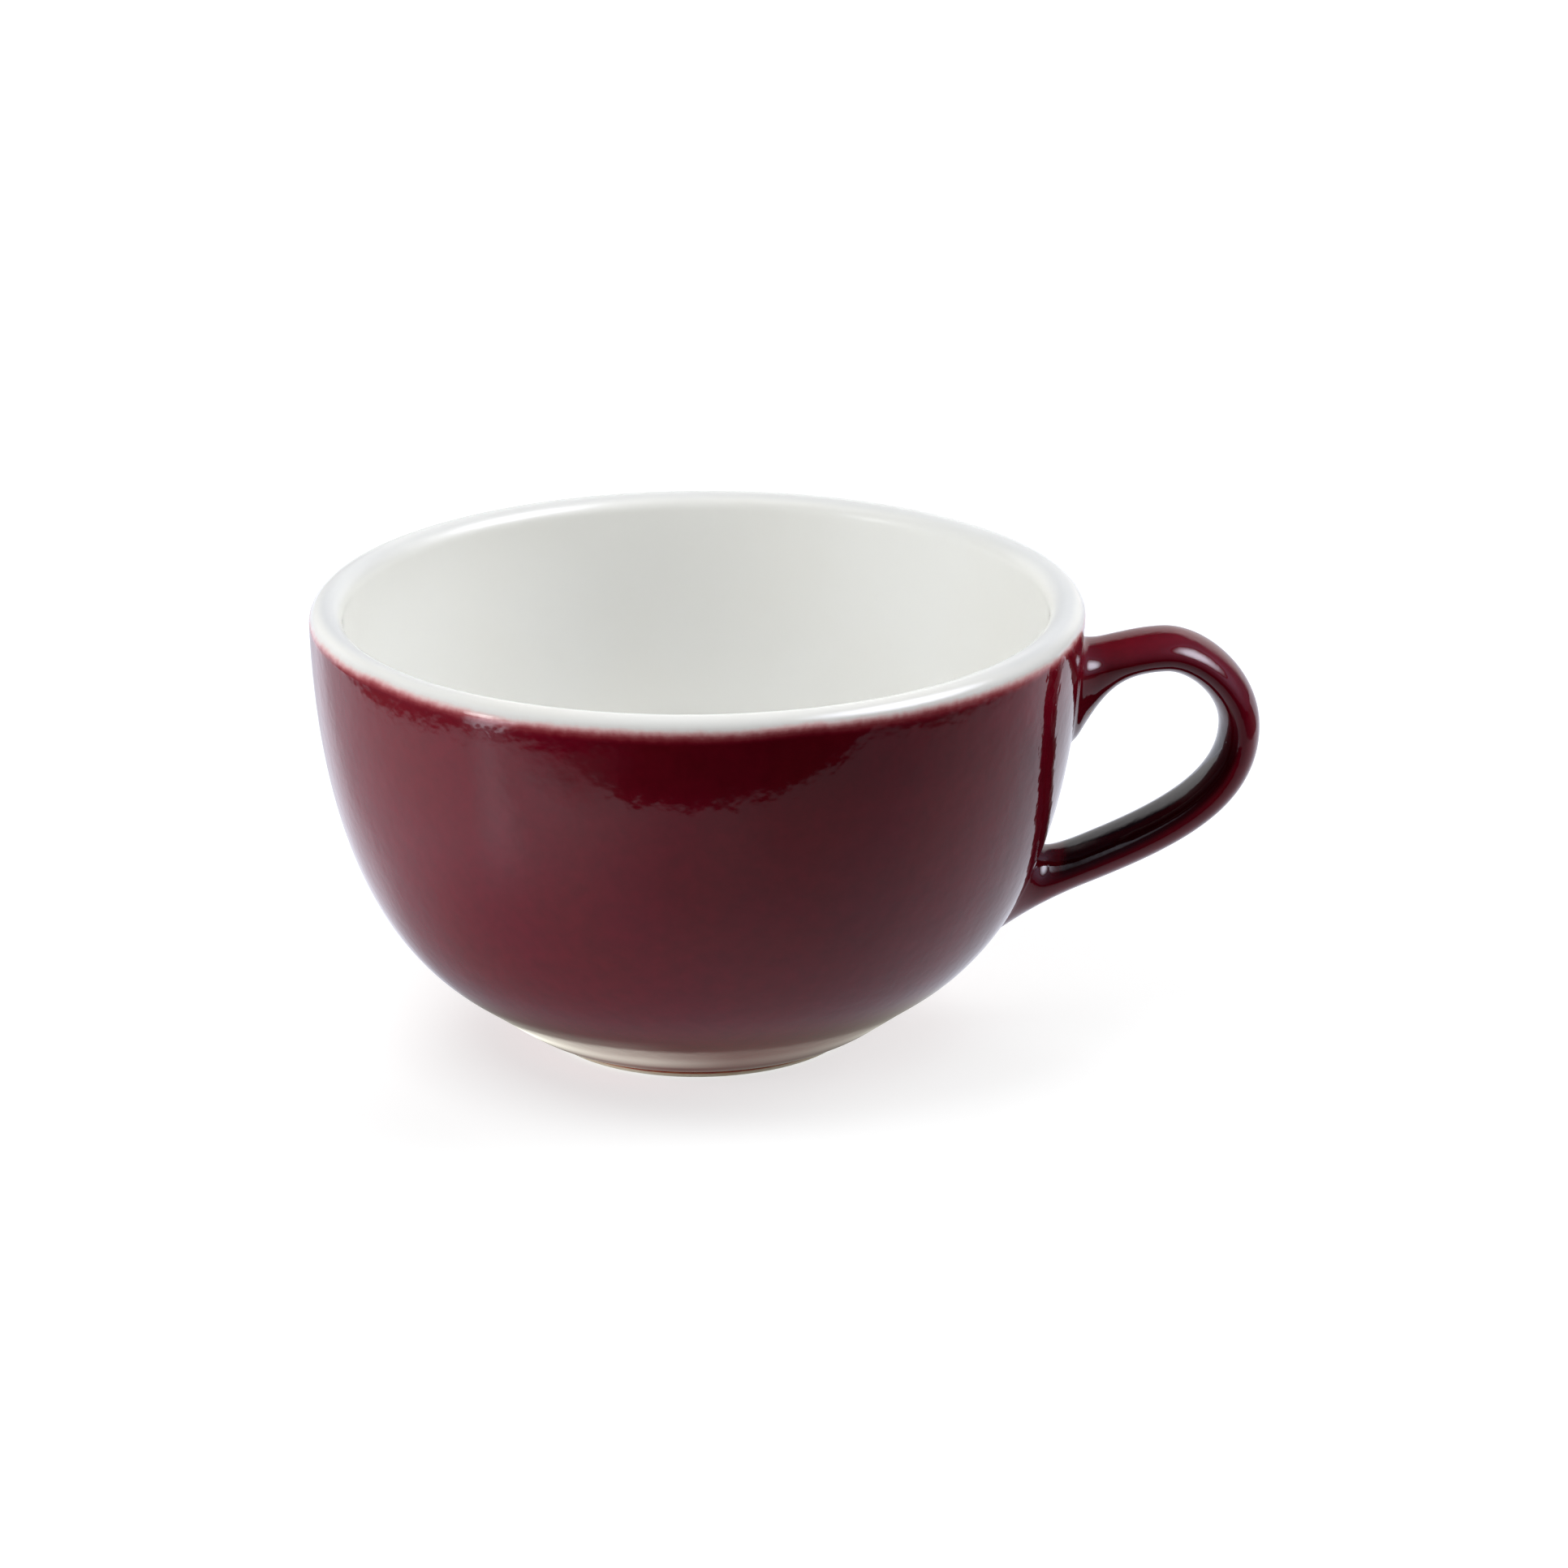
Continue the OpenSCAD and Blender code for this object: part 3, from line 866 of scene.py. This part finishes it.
def white_glaze():
    """Glossy white glaze with a few fine specks, a little warmer in places, and with painted shade, a
    greyer white, over the lip's top at the sides and behind."""
    n = nodes_of("white_glaze")
    tone = n.between(n.noise(22.0, detail=2.0), 0.35, 0.65, 0.0, 1.0)
    body = n.mix(tone, WHITE, WARM_WHITE)
    body = n.mix(n.times(n.speck(9.0, radius_mm=0.14, chance=0.10), 0.5), body, IRON_SPECK)
    line = n.attribute("line_mm")
    # Painted shade: a greyer white over the lip at the left and right, and over its top behind
    down = n.between(line, -5.4, -3.2, 0.0, 1.0, smooth=True)
    up = n.between(line, -2.4, -0.9, 1.0, 0.0, smooth=True)
    x, y, _ = n.axes()
    sides = n.fade(n.math("ABSOLUTE", x), 22, 46, 0.0, 1.0)
    front = n.fade(y, 12, -8, 0.8, 1.0)
    lip_shade = n.times(n.math("MINIMUM", down, up), n.times(sides, front))
    on_top = n.math("MINIMUM", n.between(line, -4.6, -3.4, 0.0, 1.0, smooth=True), up)
    behind = n.fade(y, 5, 30, 0.0, 0.5)
    lip_shade = n.math("MAXIMUM", lip_shade, n.times(on_top, behind))
    body = n.mix(lip_shade, body, SHADED_LIP_WHITE)
    colour = line_colour(n, BURGUNDY)
    fresh = n.between(line, -1.2, -0.75, 0.0, 1.0)
    colour = n.mix(fresh, body, colour)
    roughness = n.between(n.noise(4.0, detail=3.0, roughness=0.6), 0.3, 0.7, *WHITE_ROUGHNESS)
    back_lip = n.times(n.between(line, -7.5, -5.5, 0.0, 1.0), behind)
    roughness = n.math("MULTIPLY_ADD", back_lip, 0.36, roughness)
    peel = n.bump(n.noise(1.8, detail=1.5, roughness=0.45), depth_mm=0.010)
    swell = n.bump(n.noise(8.0, detail=1.0), depth_mm=0.03, onto=peel)
    return n.surface(colour, roughness, swell)


def bare_porcelain(name, colour, mark_depth_mm):
    """Unglazed fired clay: fine grain, turning marks round the axis, grey rubbing on high spots, and a
    browner foot, partly scorched flashing and partly painted shade.
    """
    n = nodes_of(name)
    grain = n.noise(0.25, detail=4.0, roughness=0.7)
    x, y, z = n.axes()
    radius = n.math("SQRT", n.plus(n.math("POWER", x, 2.0), n.math("POWER", y, 2.0)))
    wander = n.between(n.noise(6.0), 0.0, 1.0, 0.0, 0.4 * MM)
    rings = n.math("SINE", n.times(n.plus(radius, wander), 2 * pi / (TURNING_MARK_MM * MM)))
    rub = n.between(n.noise(1.6, detail=4.0, roughness=0.65), 0.5, 0.72, 0.0, 0.55)
    rubbed = tuple(0.72 * c for c in colour)
    body = n.mix(rub, colour, rubbed)
    body = n.mix(n.between(n.noise(5.0, detail=2.0), 0.45, 0.75, 0.0, 0.5), body, WARM_CLAY)
    # Browner towards the glaze's edge: partly scorched flashing, partly painted shade on the bare foot
    body = n.mix(n.slope(z, 0.1, 0.6, 0.1, 0.7), body, SCORCHED_AND_SHADED_CLAY)
    normal = n.bump(grain, depth_mm=0.05)
    normal = n.bump(rings, mark_depth_mm, onto=normal)
    return n.surface(body, n.between(grain, 0.3, 0.7, *CLAY_ROUGHNESS), normal)


# Camera, at the photograph's place

camera_turn = -3.0
camera_elevation, camera_distance = 19.321, 902.5
camera_aim = 26.6
camera_pan, camera_tilt, camera_roll = -0.6773, 0.2890, 0.6101
lens_mm, sensor_mm = 167.07, 36.0
photo_turn = Matrix.Rotation(radians(camera_turn), 4, "Z")


def make_camera():
    """A camera that looks at the cup's axis and is then panned, tilted and rolled a little."""
    target = Vector((0, 0, camera_aim))
    a = radians(camera_elevation)
    eye = target + camera_distance * Vector((0, -cos(a), sin(a)))
    forward = (target - eye).normalized()
    right = Vector((1, 0, 0))
    up = right.cross(forward)
    pan = Matrix.Rotation(radians(camera_pan), 3, up)
    forward, right = pan @ forward, pan @ right
    tilt = Matrix.Rotation(radians(camera_tilt), 3, right)
    forward, up = tilt @ forward, tilt @ up
    roll = Matrix.Rotation(radians(camera_roll), 3, forward)
    right, up = roll @ right, roll @ up
    data = bpy.data.cameras.new("camera")
    data.lens, data.sensor_width = lens_mm, sensor_mm
    data.clip_start, data.clip_end = 0.05, 20
    camera = new_object("camera", data)
    turn = Matrix((right, up, -forward)).transposed().to_4x4()
    camera.matrix_world = photo_turn @ Matrix.Translation(eye * MM) @ turn
    bpy.context.scene.camera = camera


make_camera()

# Pieces


def make_glazed_outside():
    """The burgundy coat, as the bowl's part and the handle's part of one surface."""
    points, faces, is_handle = glaze_skin()
    points = rim_pull(points)
    normals = skin_normals(points, faces)
    coat = shell("outer_glaze_coat", points, faces[~is_handle], normals)
    handle = shell("handle_glaze_coat", points, faces[is_handle], normals)
    for piece, node in ((coat, "outer_glaze"), (handle, "handle_glaze")):
        piece.data.materials.append(burgundy)
        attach(piece, "root")
        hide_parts(node)


def make_liner():
    """The white coat over the lip and inside."""
    over_lip = pi * lip_r
    near_axis = inner.length - 6
    rows = np.concatenate([
        np.linspace(0, over_lip, 26)[:-1],
        np.linspace(over_lip, near_axis, 80)[:-1],
        np.linspace(near_axis, inner.length, 7),
    ])
    points, faces = revolved(inner, rows)
    points = rim_pull(points)
    normals = skin_normals(points, faces)
    piece = shell("liner_glaze_coat", points, faces, normals, inside=True)
    piece.data.materials.append(white)
    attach(piece, "root")
    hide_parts("liner_glaze")


def make_foot_hollow_glaze():
    """The coat in the foot ring's hollow, with a rolled edge above the bare ring."""
    r, z = hollow_r, bare_foot_h
    edge = arc(np.array([r + glaze_t, z + glaze_t]), glaze_t, -90, -180, 6)
    corner_centre = np.array([r - hollow_corner_r, hollow_h - hollow_corner_r])
    corner = arc(corner_centre, hollow_corner_r, 0, 90, 10)
    dome = [
        np.array([(r - hollow_corner_r) * (1 - t), hollow_h + hollow_dome * (1 - (1 - t) ** 2)])
        for t in np.linspace(0, 1, 12)[1:]
    ]
    outline = Outline(np.vstack([edge, corner, dome]))
    past_corner = 4.5
    rows = [np.linspace(0, past_corner, 22)[:-1], np.linspace(past_corner, outline.length, 16)]
    points, faces = revolved(outline, np.concatenate(rows))
    normals = -skin_normals(points, faces)
    piece = shell("foot_hollow_glaze_coat", points, faces[:, ::-1], normals)
    piece.data.materials.append(burgundy)
    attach(piece, "root")
    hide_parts("foot_hollow_glaze")


burgundy = burgundy_glaze()
white = white_glaze()
porcelain = bare_porcelain("bare_porcelain", (0.80, 0.775, 0.72), mark_depth_mm=0.012)
slip = bare_porcelain("slip", (0.74, 0.70, 0.62), mark_depth_mm=0.0)

make_glazed_outside()
make_liner()
make_foot_hollow_glaze()
for node_name, material, slot_name in (
    ("cup_body", porcelain, "porcelain"),
    ("handle", porcelain, "porcelain"),
    ("upper_slip_joint", slip, "slip"),
    ("lower_slip_joint", slip, "slip"),
):
    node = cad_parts[node_name]
    node.data.materials.clear()
    node.data.materials.append(material)

# Studio

# The mirrored table, where 1 is paper in full light: its base on the left, the room past it, where it
# ends, the lamp's stand, how much more it lights the cup, and its glow under the camera's view
table_base, past_table = 0.36, 0.14
table_edge_y, table_reach = -125, 168
lamp_stand_glow, floor_bounce, paper_glow = 3.6, 1.4, 0.68
floor_size, floor_gap = 6000, 0.02


def distance_from(n, x_mm, y_mm):
    """Distance from a place on the table."""
    node = n.add("ShaderNodeVectorMath", operation="DISTANCE")
    n.link(n.place, node.inputs[0])
    node.inputs[1].default_value = (x_mm * MM, y_mm * MM, 0)
    return node.outputs["Value"]


def from_line(n, x_share, y_share, offset_mm):
    """Distance from a slanting line on the table."""
    return n.math("ABSOLUTE", n.plus(n.toward((x_share, y_share, 0)), offset_mm * MM))


def left_table(n, x, y, radius):
    """The table on the left: brighter outward, behind and close to the cup, darker beside the foot,
    and with a bright band that runs back from the cup's left edge."""
    outward = n.fade(x, 0.0, -90, 0.0, 0.50)
    back = n.fade(y, -30, 60, 0.0, 0.55)
    close = n.fade(radius, 85, 40, 0.0, 0.12)
    level = n.plus(n.math("MAXIMUM", outward, back), close, table_base)
    # Painted shadow of the cup on the mirrored table, beside the foot on the left
    level = n.times(level, n.fade(distance_from(n, -38, -24), 0.0, 55, 0.64, 1.0))
    band = n.fade(from_line(n, 0.88, 0.474, 40), 8, 32, 0.30, 0.0)
    behind = n.slope(y, 0.0, 20, 0.0, 1.0)
    return n.plus(level, n.times(band, behind, n.math("LESS_THAN", x, 0.0)))


def right_table(n, x, y):
    """The table on the right: darker in front and, behind the cup's front, further out."""
    rise = n.fade(y, -105, 65, 0.27, 1.0)
    outward = n.slope(x, 45, 165, 0.0, 0.40)
    outward = n.times(outward, n.slope(y, -90, -10, 0.2, 1.0))
    outward = n.times(outward, n.slope(y, 30, 60, 1.0, 0.45))
    return n.times(rise, n.minus(1.0, outward))


def foot_rings(n, x, radius):
    """Light rings close round the foot, mirrored in the glaze just above it."""
    outer_side = n.fade(radius, 24.2, 22.6, 0.0, 1.0)
    inner_side = n.fade(radius, 20.7, 22.6, 0.0, 1.0)
    ring = n.times(n.math("MINIMUM", outer_side, inner_side), n.fade(x, -8, 6, 1.35, 0.35))
    wide_ring = n.times(n.fade(x, -12, -2, 0.2, 0.0), n.fade(radius, 28.5, 25, 0.0, 1.0))
    return n.plus(ring, wide_ring)


def table_front(n, x, y):
    """1 on the table, falling at its front edge, which is sharp on the right and soft on the left."""
    depth = n.plus(y, n.between(n.noise(30.0), 0.3, 0.7, -4 * MM, 4 * MM))
    sharp = n.fade(depth, table_edge_y - 4, table_edge_y + 4, 0.02, 1.0)
    soft = n.slope(y, -138, -100, past_table, 1.0)
    at_left = n.fade(x, -35, -75, 0.0, 1.0)
    return n.plus(sharp, n.times(at_left, n.minus(soft, sharp)))


def table_end(n, x, y):
    """1 on the table, falling at its far end to the sides and in front, but not behind the cup."""
    ahead = n.math("MINIMUM", y, 0.0)
    reach = n.math("SQRT", n.plus(n.times(x, x), n.times(ahead, ahead)))
    reach = n.minus(reach, n.slope(x, 60, 120, 0.0, 5 * MM))
    end = n.fade(reach, table_reach + 8, table_reach - 8, past_table, 1.0)
    behind = n.minus(y, n.times(n.math("ABSOLUTE", x), 0.6))
    return n.math("MAXIMUM", end, n.fade(behind, -20, 20, 0.0, 1.0))


def floor_level(n, radius):
    """How bright the glaze mirrors each place of the table."""
    x, y, _ = n.axes()
    level = left_table(n, x, y, radius)
    right = n.fade(x, 8, 42, 0.0, 1.0)
    level = n.plus(level, n.times(right, n.minus(right_table(n, x, y), level)))
    # Painted shadow of the cup on the mirrored table, close round the foot
    level = n.times(level, n.fade(radius, 24, 34, 0.5, 1.0))
    level = n.plus(level, foot_rings(n, x, radius))
    level = n.times(level, table_front(n, x, y), table_end(n, x, y))
    streak = n.fade(from_line(n, 0.410, -0.912, -25.7), 18, 0.0, 0.0, 1.0)
    return n.plus(level, n.times(streak, n.fade(x, -48, -88, 0.0, 0.32)))


def lamp_stand_level(n, radius):
    """The left lamp's lower part, which the glaze mirrors past the table's edge."""
    x, y, _ = n.axes()
    beside = from_line(n, -0.54, 0.84, 0.0)
    near = n.between(n.math("DIVIDE", beside, radius), 0.16, 0.02, 0.0, 1.0, smooth=True)
    past = n.fade(radius, 172, 184, 0.0, lamp_stand_glow)
    front_left = n.math("LESS_THAN", n.plus(x, y), 0.0)
    return n.times(near, past, front_left)


PLAIN = (1.0, 1.0, 1.0)
WARM_TABLE = (1.0, 1.0, 0.88)
COOL_TABLE = (0.97, 1.0, 1.12)
PAPER_GREY = (0.42, 0.43, 0.43)


def floor_material():
    """White paper. The camera sees it as white with the cup's soft shadow."""
    n = nodes_of("floor")
    path = n.add("ShaderNodeLightPath")
    radius = n.length(n.place)
    colour = n.mix(n.fade(radius, 24, 36, 0.0, 1.0), WARM_TABLE, COOL_TABLE)
    bounce = n.between(path.outputs["Is Diffuse Ray"], 0.0, 1.0, 1.0, floor_bounce)
    lamp = n.times(lamp_stand_level(n, radius), path.outputs["Is Glossy Ray"])
    mirrored = n.glow(colour, n.plus(n.times(floor_level(n, radius), bounce), lamp))
    paper = n.add("ShaderNodeBsdfDiffuse")
    n.put(paper.inputs["Color"], PAPER_GREY)
    seen = n.both(paper.outputs[0], n.glow(PLAIN, n.fade(radius, 150, 700, paper_glow, 1.0)))
    return n.shine(n.either(path.outputs["Is Camera Ray"], mirrored, seen))


def make_floor():
    """The floor, a hair below the foot ring, so that the two never coincide."""
    half = floor_size * MM / 2
    corners = [(-half, -half, 0), (half, -half, 0), (half, half, 0), (-half, half, 0)]
    mesh = bpy.data.meshes.new("floor")
    mesh.from_pydata(corners, [], [(0, 1, 2, 3)])
    mesh.materials.append(floor_material())
    floor = new_object("floor", mesh)
    floor.matrix_world = photo_turn @ Matrix.Translation((0, 0, -floor_gap * MM))


cup_middle_h = 30
softbox_size, softbox_distance, card_distance = 450, 800, 600

# Each lamp's name, azimuth, elevation and strength
SOFTBOXES = (
    ("left_low_softbox", -66, 8, 3.2),
    ("left_high_softbox", -60, 65, 3.9),
    ("right_softbox", 93, 25, 3.1),
    ("right_high_softbox", 100, 52, 1.8),
    ("back_softbox", 180, 30, 3.2),
)

# Each card's name, azimuth, elevation, width, height, strength and colour
SOFT_CARDS = (
    ("left_strip", -62, 5, 170, 400, 9.0, PLAIN),
    ("right_glow", 79, 49, 660, 600, 13.0, (0.84, 0.86, 1.0)),
)


def facing_cup(azimuth, elevation, distance):
    """A place round the cup's middle, turned to it. Azimuth 0 is in front and 90 is at the handle."""
    a, e = radians(azimuth), radians(elevation)
    out = Vector((sin(a) * cos(e), -cos(a) * cos(e), sin(e)))
    turn = (-out).to_track_quat("-Z", "Y").to_matrix().to_4x4()
    middle = Vector((0, 0, cup_middle_h))
    return Matrix.Translation((middle + out * distance) * MM) @ turn


def softbox(name, azimuth, elevation, strength):
    """A square area lamp that lights the cup. The glaze mirrors the soft cards in its place."""
    data = bpy.data.lights.new(name, "AREA")
    data.size = softbox_size * MM
    data.energy = strength
    lamp = new_object(name, data)
    lamp.matrix_world = photo_turn @ facing_cup(azimuth, elevation, softbox_distance)
    lamp.visible_glossy = False


def soft_card(name, azimuth, elevation, width, height, strength, colour):
    """A round glowing card that fades to its edge. Only the glaze sees it."""
    count = 64
    angles = [2 * pi * i / count for i in range(count)]
    mesh = bpy.data.meshes.new(name)
    outline = [(width * MM / 2 * cos(a), height * MM / 2 * sin(a), 0) for a in angles]
    faces = [(0, i + 1, (i + 1) % count + 1) for i in range(count)]
    mesh.from_pydata([(0, 0, 0)] + outline, [], faces)
    card = new_object(name, mesh)
    card.matrix_world = photo_turn @ facing_cup(azimuth, elevation, card_distance)
    n = nodes_of(name)
    shrink = n.add("ShaderNodeVectorMath", operation="MULTIPLY")
    n.link(n.place, shrink.inputs[0])
    shrink.inputs[1].default_value = (2 / (width * MM), 2 / (height * MM), 0)
    level = n.between(n.length(shrink.outputs[0]), 0.15, 1.0, strength, 0.0, smooth=True)
    mesh.materials.append(n.shine(n.glow(colour, level)))
    card.visible_camera = False
    card.visible_diffuse = False
    card.visible_shadow = False


world_light = 0.06
VIOLET_GLOW = (0.88, 0.90, 1.3)
LAMP_WAY = (0.68, -0.18, 0.71)
sky = "ShaderNodeBackground"


def make_world():
    """White to the camera, a plain soft grey as light, and mirrored as a dark room with a white wall
    behind and a violet glow round the right lamp."""
    world = bpy.data.worlds.new("world")
    bpy.context.scene.world = world
    n = Nodes(world, "Generated")
    x, y, z = n.axes()
    sideways = n.math("MINIMUM", n.times(x, -0.265), n.times(x, 0.10))
    wall = n.between(n.plus(y, sideways), 0.40, 0.70, 0.0, 1.0, smooth=True)
    from_middle = n.math("ABSOLUTE", n.plus(x, 0.1))
    wall = n.times(wall, n.between(from_middle, 0.0, 0.45, 0.55, 0.90, smooth=True))
    wall = n.times(wall, n.between(z, 0.58, 0.42, 0.0, 1.0, smooth=True))
    toward_lamp = n.toward(LAMP_WAY)
    wide_glow = n.between(toward_lamp, 0.2, 0.85, 0.03, 0.22, smooth=True)
    lamp_glow = n.plus(wide_glow, n.between(toward_lamp, 0.7, 1.0, 0.0, 0.55, smooth=True))
    room = n.both(n.glow(PLAIN, wall, sky), n.glow(VIOLET_GLOW, lamp_glow, sky))
    light = n.tree.nodes["Background"]
    n.put(light.inputs["Color"], PLAIN)
    n.put(light.inputs["Strength"], world_light)
    path = n.add("ShaderNodeLightPath")
    by_glaze = n.either(path.outputs["Is Glossy Ray"], light.outputs[0], room)
    by_camera = n.either(path.outputs["Is Camera Ray"], by_glaze, n.glow(PLAIN, 1.0, sky))
    n.link(by_camera, n.tree.nodes["World Output"].inputs["Surface"])


make_floor()
make_world()
for lamp in SOFTBOXES:
    softbox(*lamp)
for card in SOFT_CARDS:
    soft_card(*card)

bpy.context.scene.view_settings.view_transform = "Standard"
